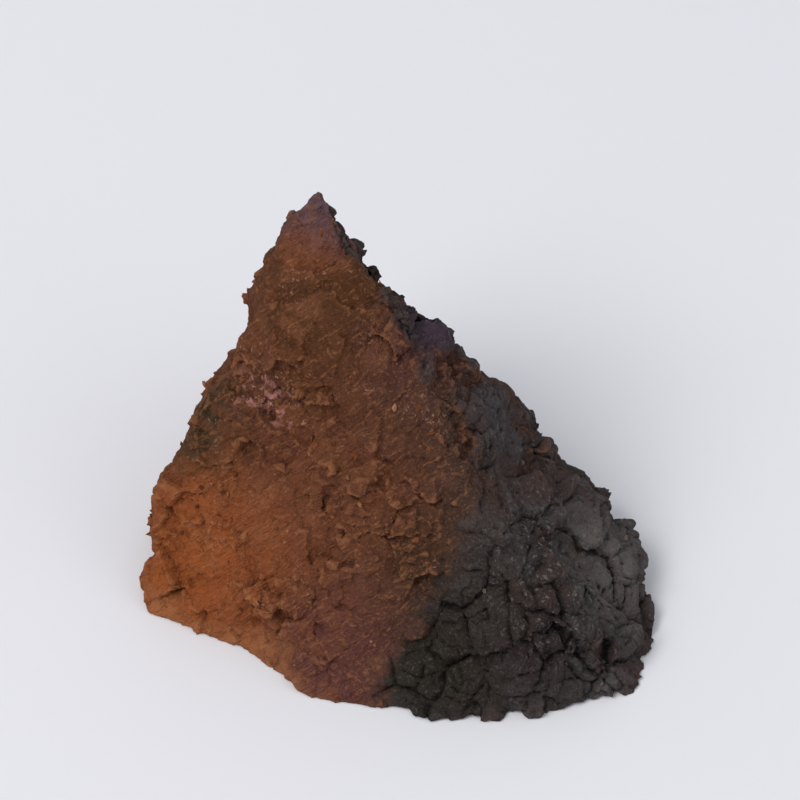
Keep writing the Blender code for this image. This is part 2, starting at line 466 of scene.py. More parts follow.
@dataclass(frozen=True)
class Crust:
    """The outer crust, and the char that reaches in from it, deeper low down. Lengths in millimetres."""

    faces: tuple[CrustFace, ...] = (
        CrustFace(70, 37, (2.64, -0.16, 1.50)),
        CrustFace(50, 27, (3.64, -2.31, 0.10)),
        CrustFace(38, 14, (1.30, -3.05, 0.00)),
        CrustFace(84, 6, (3.44, -2.41, 0.00)),
        CrustFace(97, 6, (3.44, -1.21, 0.20)),
        CrustFace(119, 22, (2.72, -0.16, 1.46)),
        CrustFace(129, 28, (1.33, 0.36, 2.83)),
        CrustFace(133, 14, (1.90, 1.82, 0.00)),
        CrustFace(165, 17, (-0.18, 3.04, 0.00)),
    )
    rounding: float = 0.35
    reach_below_waist: Rise = Rise(1.50, 3.20, 0.30, -0.04)
    reach_above_waist: Rise = Rise(3.20, 4.60, 0.00, 0.09)
    front_foot: Area = Area((0.95, -2.75, 0.70), 2.8, 0.75)
    front_corner: Area = Area((-0.10, -2.75, 0.25), 1.0, 0.34)
    shoulder: Area = Area((1.30, -0.50, 2.90), 1.0, 0.25)
    knob: Area = Area((0.40, 0.40, 4.15), 0.65, 0.80)
    tip: Area = Area((-1.05, 0.85, 5.90), 0.60, -0.25)
    back: Area = Area((0.45, 1.75, 3.30), 2.00, 0.55)
    wander: Wander = Wander(Cloud(0.70, 3.0), 0.16)
    fade_width: Rise = Rise(1.50, 4.60, 1.00, 0.22)
    fade: Rise = Rise(-0.5, 0.5, 1.0, 0.0)

    def past_char(self, graph: Graph, place: Socket) -> Socket:
        """How far a place lies past the middle of the char's inner border.

        Args:
            graph: The tree to add to.
            place: The place in millimetres.

        Returns:
            The distance in millimetres, which is negative in the char.
        """
        depth = self.faces[0].depth(graph, place)
        for face in self.faces[1:]:
            depth = graph.math("SMOOTH_MIN", depth, face.depth(graph, place), self.rounding)
        height = graph.parts(place)[2]
        below = self.reach_below_waist.of(graph, height)
        above = self.reach_above_waist.of(graph, height)
        areas = (self.front_foot, self.front_corner, self.shoulder, self.knob, self.tip, self.back)
        reach = graph.total(below, above, *[area.share(graph, place) for area in areas])
        return graph.less(depth, reach)

    def char(self, graph: Graph, place: Socket, past: Socket) -> Socket:
        """How charred a place is.

        Args:
            graph: The tree to add to.
            place: The place in millimetres.
            past: How far it lies past the char's border.

        Returns:
            1 in the crust, 0 in the cork.
        """
        wandering = graph.total(past, self.wander.at(graph, place))
        width = self.fade_width.of(graph, graph.parts(place)[2])
        return self.fade.of(graph, graph.math("DIVIDE", wandering, width))


@dataclass(frozen=True)
class Shards:
    """Little tilted flats that a break leaves, each at its own level. Lengths in millimetres."""

    size: float
    slope: float
    level: float

    def height(self, graph: Graph, place: Socket) -> tuple[Socket, Socket]:
        """Height of the flats.

        Args:
            graph: The tree to add to.
            place: The place in millimetres.

        Returns:
            The height around zero, and a number from 0 to 1 that is one for each flat.
        """
        cells = graph.cells(place, self.size)
        tilt = graph.centred(cells.outputs["Color"])
        across = graph.vector("SUBTRACT", place, cells.outputs["Position"])
        slant = graph.product(graph.dot(across, tilt), 2.0 * self.slope)
        tone = graph.parts(cells.outputs["Color"])[0]
        level = graph.product(graph.less(tone, 0.5), 2.0 * self.level)
        return graph.total(slant, level), tone


@dataclass(frozen=True)
class Ledges:
    """Ragged ledges of a break, each of which slopes down to the foot of the next. Lengths in millimetres."""

    cloud: Cloud = Cloud(1.20, 4.0)
    count: float = 8.0
    drop: float = 0.075
    riser: Rise = Rise(0.0, 0.16)
    middle: float = 0.42

    def height(self, graph: Graph, place: Socket) -> Socket:
        """Height of the ledges.

        Args:
            graph: The tree to add to.
            place: The place in millimetres.

        Returns:
            The height, around zero.
        """
        above = graph.math("FRACT", graph.product(self.cloud.at(graph, place), self.count))
        level = graph.less(self.riser.of(graph, above), above)
        return graph.product(graph.less(level, self.middle), self.drop)


@dataclass(frozen=True)
class CorkRelief:
    """Fine relief of torn cork: ragged ledges, shards, fibres and pits. Lengths in millimetres."""

    bend: Bend = Bend(0.30, 0.06)
    ledges: Ledges = Ledges()
    ledge_share: Rise = Rise(0.0, 0.8, 0.30, 1.0)
    shards: Shards = Shards(0.46, 0.22, 0.020)
    chips: Shards = Shards(0.17, 0.22, 0.008)
    chip_bend: Bend = Bend(0.09, 0.02)
    least_broken: float = 0.6
    fibres: Fibres = Fibres(0.080, 0.80)
    fibre_height: float = 0.032
    fibre_share: Rise = Rise(0.35, 0.60, 1.0, 0.4)
    pits: Patches = Patches(Cloud(0.16), Rise(0.27, 0.17, 0.0, 0.07))
    patch: Cloud = Cloud(1.30, 2.0)
    crumbly: Rise = Rise(0.44, 0.66)
    crumbled: Area = Area((-1.80, -0.40, 3.30), 1.00, 0.80)
    calm: Area = Area((-1.05, 0.00, 4.60), 1.90, 0.45)

    def height(self, graph: Graph, place: Socket) -> tuple[Socket, Socket]:
        """Height of the cork's fine relief.

        Args:
            graph: The tree to add to.
            place: The place in millimetres.

        Returns:
            The height in millimetres, around zero, and the tone of the chips.
        """
        bent = self.bend.of(graph, place)
        patch = self.patch.at(graph, place)
        crumbly = graph.total(self.crumbly.of(graph, patch), self.crumbled.share(graph, place))
        ledges = graph.product(self.ledges.height(graph, bent), self.ledge_share.of(graph, crumbly))
        shard, shard_tone = self.shards.height(graph, bent)
        chip, chip_tone = self.chips.height(graph, self.chip_bend.of(graph, place))
        broken = graph.product(graph.total(shard, chip), graph.total(crumbly, self.least_broken))
        fibre = graph.less(self.fibres.at(graph, bent), 0.5)
        fibre = graph.product(fibre, 2.0 * self.fibre_height, self.fibre_share.of(graph, patch))
        pits = graph.product(self.pits.share(graph, bent), crumbly)
        height = graph.less(graph.total(ledges, broken, fibre), pits)
        strength = graph.less(1.0, self.calm.share(graph, place))
        return graph.product(height, strength), graph.mix(0.5, shard_tone, chip_tone)


@dataclass(frozen=True)
class Cracks:
    """A net of cracks along the borders of cells: their width and depth in millimetres."""

    width: float
    depth: float

    def at(self, graph: Graph, place: Socket, spacing: float) -> Socket:
        """Depth of the cracks at a place, whose cells are so far apart."""
        border = graph.cells(place, spacing, Cells.FROM_BORDER).outputs["Distance"]
        return graph.rise(border, 0.0, self.width / spacing, self.depth, 0.0)


@dataclass(frozen=True)
class CrustRelief:
    """Fine relief of the crust: blocks parted by cracks, with a rough grain. Lengths in millimetres."""

    bend: Bend = Bend(0.40, 0.07)
    fine_bend: Bend = Bend(0.10, 0.018)
    blocks: Shards = Shards(0.62, 0.20, 0.045)
    lumps: Shards = Shards(0.26, 0.24, 0.018)
    cracks: Cracks = Cracks(0.055, 0.11)
    splits: Cracks = Cracks(0.030, 0.040)
    gaping: Patches = Patches(Cloud(0.9, 2.0), Rise(0.36, 0.60, 0.15, 1.0))
    grain: Wander = Wander(Cloud(0.11, 4.0, 0.7), 0.034)
    calm: tuple[Area, ...] = (
        Area((1.00, -1.90, 2.40), 1.60, 0.50),
        Area((-0.45, 0.70, 5.20), 1.10, 0.50),
    )

    def height(self, graph: Graph, place: Socket) -> tuple[Socket, Socket]:
        """Height of the crust's fine relief.

        Args:
            graph: The tree to add to.
            place: The place in millimetres.

        Returns:
            The height in millimetres, around zero, and the tone of the lumps.
        """
        bent = self.fine_bend.of(graph, self.bend.of(graph, place))
        block, block_tone = self.blocks.height(graph, bent)
        lump, lump_tone = self.lumps.height(graph, bent)
        crack = self.cracks.at(graph, bent, self.blocks.size)
        split = self.splits.at(graph, bent, self.lumps.size)
        open_cracks = graph.product(graph.total(crack, split), self.gaping.share(graph, place))
        height = graph.less(graph.total(block, lump, self.grain.at(graph, place)), open_cracks)
        calm = graph.total(*[area.share(graph, place) for area in self.calm])
        return graph.product(height, graph.less(1.0, calm)), graph.mix(0.5, block_tone, lump_tone)


@dataclass(frozen=True)
class SurfaceTree:
    """Geometry Nodes tree that gives a smooth fine mesh, in millimetres, the surface of the chunk."""

    crust: Crust = Crust()
    cork: CorkRelief = CorkRelief()
    charred: CrustRelief = CrustRelief()
    facet_blur: int = 5
    swirl_size: float = 0.28
    swirl_detail: float = 2.0
    swells: tuple[Area, ...] = (
        Area((-1.25, 0.88, 5.72), 0.30, 0.04),
        Area((-0.86, 0.80, 5.82), 0.28, -0.10),
        Area((-0.50, 0.60, 5.30), 1.00, -0.14),
        Area((-0.10, 1.40, 3.90), 1.10, -0.16),
        Area((0.20, 0.75, 4.10), 0.60, -0.14),
        Area((0.80, 0.85, 3.20), 0.75, -0.16),
        Area((1.38, 0.50, 2.70), 0.55, 0.13),
        Area((2.18, 0.25, 1.75), 0.75, -0.18),
        Area((2.98, -0.05, 0.86), 0.35, -0.05),
        Area((3.22, -0.42, 0.48), 0.50, 0.14),
        Area((3.42, -1.12, 0.08), 0.45, -0.18),
        Area((-2.42, 1.38, 2.38), 0.60, -0.12),
    )
    foot_share: float = 0.65
    fine_blur: int = 5
    fine_reach: float = 0.020
    broad_blur: int = 70
    broad_reach: float = 0.085

    def build(self) -> bpy.types.GeometryNodeTree:
        """Makes the tree.

        Returns:
            The tree. Its inputs are the mesh, the strength of the relief, the reach of the swirls that
            undercut it, the height of the band above the foot where both grow to their full strength, and the
            finish.
        """
        numbers = ("Relief strength", "Swirl reach", "Foot band")
        inputs = {**dict.fromkeys(numbers, Input.NUMBER), "Finish": Input.FINISH}
        graph, given = new_tree("chunk_surface", inputs)
        strength, swirl, band = [given.outputs[name] for name in numbers]
        geometry = graph.put(given.outputs["Geometry"], self.blurred(graph, self.facet_blur))
        swirls = graph.swirls(graph.here(), self.swirl_size, self.swirl_detail)
        reach = graph.product(self.off_foot(graph, band), swirl)
        geometry = graph.moved(geometry, graph.scaled(swirls, reach))
        geometry = self.raise_surface(graph, geometry, graph.product(strength, self.off_foot(graph, band)))
        graph.finished(self.mark(graph, geometry), given.outputs["Finish"])
        return graph.tree

    def off_foot(self, graph: Graph, band: Socket) -> Socket:
        """How much of the relief there is: less on the flat foot, and all of it above the band."""
        return graph.rise(graph.parts(graph.here())[2], 0.0, band, self.foot_share, 1.0)

    def blurred(self, graph: Graph, iterations: int) -> Socket:
        """Place of a point averaged with its neighbours, so many times."""
        inputs = {"Value": graph.here(), "Iterations": iterations}
        return graph.add("GeometryNodeBlurAttribute", inputs, data_type="FLOAT_VECTOR").outputs[0]

    def raise_surface(self, graph: Graph, geometry: Socket, strength: Socket) -> Socket:
        """Lays the fine relief of cork and crust, and the swells of the outline, on the surface.

        Args:
            graph: The tree to add to.
            geometry: The mesh.
            strength: Factor on the heights of the relief.

        Returns:
            The mesh with its relief, its char, its depth past the char and the tone of its chips.
        """
        place = graph.here()
        past = self.crust.past_char(graph, place)
        char = self.crust.char(graph, place, past)
        cork_height, cork_tone = self.cork.height(graph, place)
        crust_height, crust_tone = self.charred.height(graph, place)
        geometry = graph.keep(geometry, DEPTH, past)
        geometry = graph.keep(geometry, CHAR, char)
        geometry = graph.keep(geometry, TONE, graph.mix(char, cork_tone, crust_tone))
        height = graph.product(graph.mix(char, cork_height, crust_height), strength)
        height = graph.total(height, *[swell.share(graph, place) for swell in self.swells])
        geometry = graph.moved(geometry, graph.scaled(graph.normal(), height))
        return graph.put(geometry, graph.vector("MAXIMUM", graph.here(), (-math.inf, -math.inf, 0.0)))

    def mark(self, graph: Graph, geometry: Socket) -> Socket:
        """Keeps how far each point stands out from its surroundings, near and wide.

        Args:
            graph: The tree to add to.
            geometry: The mesh.

        Returns:
            The mesh with both marks.
        """
        for name, iterations, reach in (
            (RAISED, self.fine_blur, self.fine_reach),
            (EDGE, self.broad_blur, self.broad_reach),
        ):
            out = graph.vector("SUBTRACT", graph.here(), self.blurred(graph, iterations))
            geometry = graph.keep(geometry, name, graph.math("DIVIDE", graph.dot(out, graph.normal()), reach))
        return geometry


@dataclass(frozen=True)
class Tinge:
    """A colour that an area of the chunk leans to."""

    area: Area
    colour: Colour


@dataclass(frozen=True)
class CorkColour:
    """Colour of the torn cork: brown near the crust, orange deep inside, with tinges, flecks and grain, tan
    crests that are partly a painted highlight, and painted shade in its hollows.
    """

    by_depth: tuple[tuple[float, Colour], ...] = (
        (-0.50, seen(62, 52, 48)),
        (0.00, seen(74, 55, 47)),
        (0.45, seen(91, 59, 45)),
        (1.10, seen(107, 64, 45)),
        (2.20, seen(116, 68, 46)),
        (3.60, seen(139, 79, 45)),
        (5.00, seen(154, 86, 45)),
    )
    depth_wander: Wander = Wander(Cloud(0.8, 3.0), 0.45)
    tan: Colour = seen(178, 118, 78)
    cream: Colour = seen(204, 160, 132)
    dark_and_hollow_shade: Colour = seen(54, 30, 20)
    pink_and_highlight: Colour = seen(190, 130, 124)
    tinges: tuple[Tinge, ...] = (
        Tinge(Area((-2.80, -1.30, 1.10), 2.2, 0.50), seen(174, 92, 43)),
        Tinge(Area((-0.90, -2.60, 0.50), 1.6, 0.80), seen(104, 62, 57)),
        Tinge(Area((0.45, -1.95, 1.95), 1.0, 0.60), seen(74, 50, 32)),
        Tinge(Area((-1.00, 0.00, 4.50), 2.0, 0.75), seen(90, 55, 31)),
        # Olive on the left flank: partly its own colour, partly painted shade.
        Tinge(Area((-2.65, 0.05, 2.55), 1.2, 0.80), seen(66, 54, 38)),
        Tinge(Area((-1.80, -0.65, 2.55), 0.7, 0.45), seen(84, 50, 36)),
        Tinge(Area((-1.80, -0.20, 3.20), 0.8, 0.45), seen(80, 48, 44)),
        Tinge(Area((0.05, -0.15, 4.10), 1.1, 0.65), seen(100, 62, 58)),
        Tinge(Area((-1.15, 0.60, 5.30), 0.7, 0.60), seen(146, 86, 56)),
        Tinge(Area((-1.05, 0.90, 5.95), 1.05, 0.95), seen(96, 78, 90)),
    )
    tinge_bend: Bend = Bend(0.60, 0.30)
    fine_tinge_bend: Bend = Bend(0.18, 0.10)
    tinge_wander: Wander = Wander(Cloud(0.15, 4.0), 0.50)
    tinge_share: Rise = Rise(0.15, 0.85, 0.60, 1.30)
    pink_highlight_areas: tuple[Area, ...] = (
        Area((-1.93, -0.08, 3.22), 0.50, 0.95),
        Area((-1.55, -0.33, 3.18), 0.50, 0.95),
    )
    blotches: Patches = Patches(Cloud(0.20, 3.0, 0.6), Rise(0.50, 0.60))
    crest_tan_and_highlight: Rise = Rise(0.2, 1.3, 0.0, 0.30)
    edge_tan_and_highlight: Rise = Rise(0.4, 1.6, 0.0, 0.30)
    painted_hollow_shade: Rise = Rise(-0.5, -1.9, 0.0, 0.36)
    dark_chips: Rise = Rise(0.50, 0.95, 0.0, 0.20)
    pale_chips: Rise = Rise(0.45, 0.05, 0.0, 0.16)
    grain: Cloud = Cloud(0.045, 3.0, 0.7)
    dark_grain: Rise = Rise(0.46, 0.28, 0.0, 0.40)
    pale_grain: Rise = Rise(0.54, 0.72, 0.0, 0.36)
    streaks: Fibres = Fibres(0.055, 0.9)
    streak_bend: Bend = Bend(0.30, 0.06)
    streak_share: Rise = Rise(0.56, 0.72, 0.0, 0.32)
    flecks: Patches = Patches(Cloud(0.060, 2.0, 0.6), Rise(0.58, 0.70))
    fleck_patch: Cloud = Cloud(0.55, 2.0)
    fleck_share: Rise = Rise(0.52, 0.70, 0.0, 0.45)
    flecked: Area = Area((-1.80, -0.40, 3.30), 1.0, 0.1875)
    rim_height: Rise = Rise(0.092, 0.46, 0.60, 0.0)
    rim_across: Rise = Rise(-0.70, -1.50)
    rim_crumbs: Patches = Patches(Cloud(0.20, 3.0), Rise(0.38, 0.60, 0.30, 1.0))

    def build(self, graph: Graph, place: Socket) -> Socket:
        """Colour of the torn cork.

        Args:
            graph: The tree to add to.
            place: The place in millimetres.

        Returns:
            The colour.
        """
        bent = self.fine_tinge_bend.of(graph, self.tinge_bend.of(graph, place))
        colour = self.tinged(graph, place, bent)
        colour = self.speckled(graph, place, colour)
        raised = graph.kept(RAISED)
        # Tan on crests, broad edges and the rim along the foot: partly pale crumbly cork, partly painted
        # highlight.
        colour = graph.tint(self.crest_tan_and_highlight.of(graph, raised), colour, self.tan)
        colour = graph.tint(self.edge_tan_and_highlight.of(graph, graph.kept(EDGE)), colour, self.tan)
        colour = graph.tint(self.rim(graph, bent), colour, self.tan)
        # Painted shade: darker in the hollows of the relief.
        return graph.tint(self.painted_hollow_shade.of(graph, raised), colour, self.dark_and_hollow_shade)

    def tinged(self, graph: Graph, place: Socket, bent: Socket) -> Socket:
        """Colour by depth, with the tinges and the pink specks, partly a painted highlight, laid on it.

        Args:
            graph: The tree to add to.
            place: The place in millimetres.
            bent: The place where the tinges are read.

        Returns:
            The colour.
        """
        first, last = self.by_depth[0][0], self.by_depth[-1][0]
        stops = tuple(((depth - first) / (last - first), colour) for depth, colour in self.by_depth)
        depth = graph.total(graph.kept(DEPTH), self.depth_wander.at(graph, place))
        colour = graph.ramp(graph.math("DIVIDE", graph.less(depth, first), last - first), stops)
        patchy = graph.total(graph.kept(TONE), self.tinge_wander.at(graph, place))
        patchy = self.tinge_share.of(graph, patchy)
        for tinge in self.tinges:
            colour = graph.tint(graph.product(tinge.area.share(graph, bent), patchy), colour, tinge.colour)
        # Pink specks on the ledge at the step: partly pink cork, partly painted highlight.
        pink_highlight_areas = graph.total(*[area.share(graph, place) for area in self.pink_highlight_areas])
        return graph.tint(graph.product(self.blotches.share(graph, place), pink_highlight_areas), colour, self.pink_and_highlight)

    def speckled(self, graph: Graph, place: Socket, colour: Socket) -> Socket:
        """Lays the tone of the chips, the grain, the streaks and the flecks on the cork's colour.

        Args:
            graph: The tree to add to.
            place: The place in millimetres.
            colour: The colour without them.

        Returns:
            The colour with them.
        """
        tone = graph.kept(TONE)
        colour = graph.tint(self.dark_chips.of(graph, tone), colour, self.dark_and_hollow_shade)
        colour = graph.tint(self.pale_chips.of(graph, tone), colour, self.tan)
        grain = self.grain.at(graph, place)
        colour = graph.tint(self.dark_grain.of(graph, grain), colour, self.dark_and_hollow_shade)
        colour = graph.tint(self.pale_grain.of(graph, grain), colour, self.tan)
        streak = self.streaks.at(graph, self.streak_bend.of(graph, place))
        colour = graph.tint(self.streak_share.of(graph, streak), colour, self.tan)
        patch = graph.total(self.fleck_patch.at(graph, place), self.flecked.share(graph, place))
        fleck = graph.product(self.flecks.share(graph, place), self.fleck_share.of(graph, patch))
        return graph.tint(fleck, colour, self.cream)

    def rim(self, graph: Graph, place: Socket) -> Socket:
        """Share of tan on the crumbly rim along the foot, on the left, partly pale cork and partly a painted
        highlight.

        Args:
            graph: The tree to add to.
            place: The place in millimetres.

        Returns:
            The share.
        """
        across, _, height = graph.parts(place)
        low = self.rim_height.of(graph, height)
        return graph.product(low, self.rim_crumbs.share(graph, place), self.rim_across.of(graph, across))


@dataclass(frozen=True)
class CrustColour:
    """Colour of the charred crust: charcoal with dust, brown patches, tinges and specks, partly painted shade
    low at the foot, and painted shade in its cracks.
    """

    char: Colour = seen(75, 69, 68)
    dust: Colour = seen(128, 121, 119)
    brown: Colour = seen(84, 62, 54)
    soot_and_crack_shade: Colour = seen(28, 24, 23)
    speck: Colour = seen(156, 150, 146)
    dusty: Patches = Patches(Cloud(0.35, 4.0, 0.7), Rise(0.46, 0.70, 0.0, 0.45))
    dusty_lumps: Rise = Rise(0.35, 0.05, 0.0, 0.22)
    browned: Patches = Patches(Cloud(0.6, 3.0), Rise(0.46, 0.64, 0.0, 0.6))
    brown_inside: Rise = Rise(-0.45, 0.10, 0.0, 0.6)
    tinges: tuple[Tinge, ...] = (
        # These first three tinges, low at the front foot, are olive and purple crust colour, darkened partly
        # as painted shade.
        Tinge(Area((0.75, -2.45, 1.10), 2.10, 0.80), seen(56, 46, 38)),
        Tinge(Area((0.40, -2.75, 0.50), 1.10, 0.65), seen(46, 44, 30)),
        Tinge(Area((1.80, -2.65, 0.90), 1.10, 0.50), seen(52, 41, 43)),
        Tinge(Area((2.75, -1.05, 1.00), 1.35, 0.55), seen(128, 122, 120)),
        Tinge(Area((1.35, -0.25, 3.00), 0.95, 0.60), seen(88, 84, 88)),
        Tinge(Area((0.45, 0.10, 4.20), 0.85, 0.85), seen(76, 58, 74)),
    )
    grain: Cloud = Cloud(0.040, 3.0, 0.75)
    pale_grain: Rise = Rise(0.54, 0.72, 0.0, 0.50)
    dark_grain: Rise = Rise(0.46, 0.30, 0.0, 0.60)
    specks: Patches = Patches(Cloud(0.085, 3.0, 0.65), Rise(0.57, 0.66))
    specked: Area = Area((2.10, -1.70, 1.50), 1.80, 0.60)
    painted_crack_shade: Rise = Rise(-0.3, -1.6, 0.0, 0.7)

    def build(self, graph: Graph, place: Socket) -> Socket:
        """Colour of the charred crust.

        Args:
            graph: The tree to add to.
            place: The place in millimetres.

        Returns:
            The colour.
        """
        colour = graph.tint(self.dusty.share(graph, place), self.char, self.dust)
        colour = graph.tint(self.dusty_lumps.of(graph, graph.kept(TONE)), colour, self.dust)
        colour = graph.tint(self.browned.share(graph, place), colour, self.brown)
        colour = graph.tint(self.brown_inside.of(graph, graph.kept(DEPTH)), colour, self.brown)
        for tinge in self.tinges:
            colour = graph.tint(tinge.area.share(graph, place), colour, tinge.colour)
        grain = self.grain.at(graph, place)
        colour = graph.tint(self.pale_grain.of(graph, grain), colour, self.dust)
        colour = graph.tint(self.dark_grain.of(graph, grain), colour, self.soot_and_crack_shade)
        speck = graph.product(self.specks.share(graph, place), self.specked.share(graph, place))
        colour = graph.tint(speck, colour, self.speck)
        # Painted shade: near black in the cracks and hollows of the relief.
        return graph.tint(self.painted_crack_shade.of(graph, graph.kept(RAISED)), colour, self.soot_and_crack_shade)


@dataclass(frozen=True)
class ChagaFinish:
    """Finish of the chunk, from the charred crust to the cork that lay deepest. Lengths in millimetres."""

    name: str = "chaga_finish"
    cork: CorkColour = CorkColour()
    crust: CrustColour = CrustColour()
    border_wander: Wander = Wander(Cloud(0.22, 5.0), 0.50)
    border_chips: float = 0.60
    border: Rise = Rise(0.28, 0.72)
    cork_roughness: float = 0.90
    glint_size: float = 0.09
    crust_roughness: Rise = Rise(0.0, 0.25, 0.40, 0.85)
    bump_depth: float = 0.06
    grain: Cloud = Cloud(0.060, 4.0, 0.7)
    cork_grain: float = 1.0
    crust_grain: float = 1.7
    fibres: Fibres = Fibres(0.030, 0.32)
    cork_fibres: float = 0.8
    crust_fibres: float = 0.1

    def build(self) -> bpy.types.Material:
        """Makes the material.

        Returns:
            The material.
        """
        material, graph, shader = new_finish(self.name, DRY_GLOSS, self.cork_roughness)
        place = graph.on_piece()
        chip = graph.product(graph.less(graph.kept(TONE), 0.5), self.border_chips)
        ragged = graph.total(graph.kept(CHAR), self.border_wander.at(graph, place), chip)
        char = self.border.of(graph, ragged)
        colour = graph.tint(char, self.cork.build(graph, place), self.crust.build(graph, place))
        graph.feed(shader.inputs["Base Color"], colour)
        graph.feed(shader.inputs["Roughness"], self.roughness(graph, place, char))
        graph.feed(shader.inputs["Normal"], self.bump(graph, place, char))
        return material

    def roughness(self, graph: Graph, place: Socket, char: Socket) -> Socket:
        """Roughness, which is lower on the small clean faces of charred crust."""
        glint = graph.parts(graph.cells(place, self.glint_size).outputs["Color"])[0]
        return graph.mix(char, self.cork_roughness, self.crust_roughness.of(graph, glint))

    def bump(self, graph: Graph, place: Socket, char: Socket) -> Socket:
        """Relief that is finer than the mesh.

        Args:
            graph: The tree to add to.
            place: The place in millimetres.
            char: How charred the place is.

        Returns:
            The bumped normal.
        """
        grain_share = graph.mix(char, self.cork_grain, self.crust_grain)
        fibre_share = graph.mix(char, self.cork_fibres, self.crust_fibres)
        grain = graph.product(self.grain.at(graph, place), grain_share)
        fibre = graph.product(self.fibres.at(graph, place), fibre_share)
        distance = self.bump_depth / MM_PER_M
        inputs = {"Strength": 1.0, "Distance": distance, "Height": graph.total(grain, fibre)}
        return graph.add("ShaderNodeBump", inputs).outputs["Normal"]


@dataclass(frozen=True)
class CrumbFinish:
    """Finish of the crumbs: cork of every shade on the cork, char and dust on the crust."""

    name: str = "crumb_finish"
    by_tone: tuple[tuple[float, Colour], ...] = (
        (0.00, seen(84, 48, 32)),
        (0.50, seen(124, 72, 44)),
        (0.90, seen(144, 90, 60)),
        (1.00, seen(170, 122, 92)),
    )
    char: Colour = seen(52, 45, 43)
    dust: Colour = seen(116, 104, 98)
    shadow: Colour = seen(70, 42, 30)
    dusty: Rise = Rise(0.5, 1.0)
    charred: Rise = Rise(0.0, 0.4)
    mottle: Patches = Patches(Cloud(0.04, 2.0), Rise(0.35, 0.65, 0.0, 0.4))
    roughness: float = 0.9

    def build(self) -> bpy.types.Material:
        """Makes the material.

        Returns:
            The material.
        """
        material, graph, shader = new_finish(self.name, DRY_GLOSS, self.roughness)
        tone = graph.kept(TONE)
        crust = graph.tint(self.dusty.of(graph, tone), self.char, self.dust)
        colour = graph.tint(self.charred.of(graph, graph.kept(CHAR)), graph.ramp(tone, self.by_tone), crust)
        mottle = self.mottle.share(graph, graph.on_piece())
        graph.feed(shader.inputs["Base Color"], graph.tint(mottle, colour, self.shadow))
        return material


@dataclass(frozen=True)
class ChunkBody:
    """The chunk itself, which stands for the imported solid. Lengths in millimetres."""

    voxel: float = 0.028
    quick_voxel: float = 0.060
    merge: float = 0.0005
    most_triangles: int = 194_000
    relief_strength: float = 1.0
    swirl_reach: float = 0.044
    foot_band: float = 0.12
    surface: SurfaceTree = SurfaceTree()

    def build(self, solid: bpy.types.Object, material: bpy.types.Material) -> bpy.types.Mesh:
        """Makes the fine mesh of the chunk.

        Args:
            solid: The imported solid.
            material: Finish of the chunk.

        Returns:
            The mesh, in millimetres.
        """
        work = new_object("chunk_work", self.copy_solid(solid))
        remesh = work.modifiers.new("fine", "REMESH")
        remesh.mode = "VOXEL"
        remesh.voxel_size = self.voxel
        relief = work.modifiers.new("surface", "NODES")
        relief.node_group = self.surface.build()
        set_input(relief, "Relief strength", self.relief_strength)
        set_input(relief, "Swirl reach", self.swirl_reach)
        set_input(relief, "Foot band", self.foot_band)
        set_input(relief, "Finish", material)
        return self.thinned(taken_mesh(work))

    def copy_solid(self, solid: bpy.types.Object) -> bpy.types.Mesh:
        """Copies the solid's mesh in millimetres, with its loose triangles joined and without its finish.

        Args:
            solid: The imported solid.

        Returns:
            The copy.
        """
        mesh = solid.data.copy()
        mesh.materials.clear()
        mesh.transform(Matrix.Scale(MM_PER_M, 4))
        bm = bmesh.new()
        bm.from_mesh(mesh)
        bmesh.ops.remove_doubles(bm, verts=bm.verts[:], dist=self.merge)
        bm.to_mesh(mesh)
        bm.free()
        return mesh

    def thinned(self, mesh: bpy.types.Mesh) -> bpy.types.Mesh:
        """Takes triangles out where the surface is flat, down to the most that the piece may have.

        Args:
            mesh: The fine mesh.

        Returns:
            The mesh in triangles, with no point below the foot.
        """
        work = new_object("chunk_thin", mesh)
        thin = work.modifiers.new("thin", "DECIMATE")
        thin.ratio = min(1.0, self.most_triangles / (2.0 * len(mesh.polygons)))
        thin.use_collapse_triangulate = True
        thinned = taken_mesh(work)
        for vertex in thinned.vertices:
            vertex.co.z = max(vertex.co.z, 0.0)
        return thinned


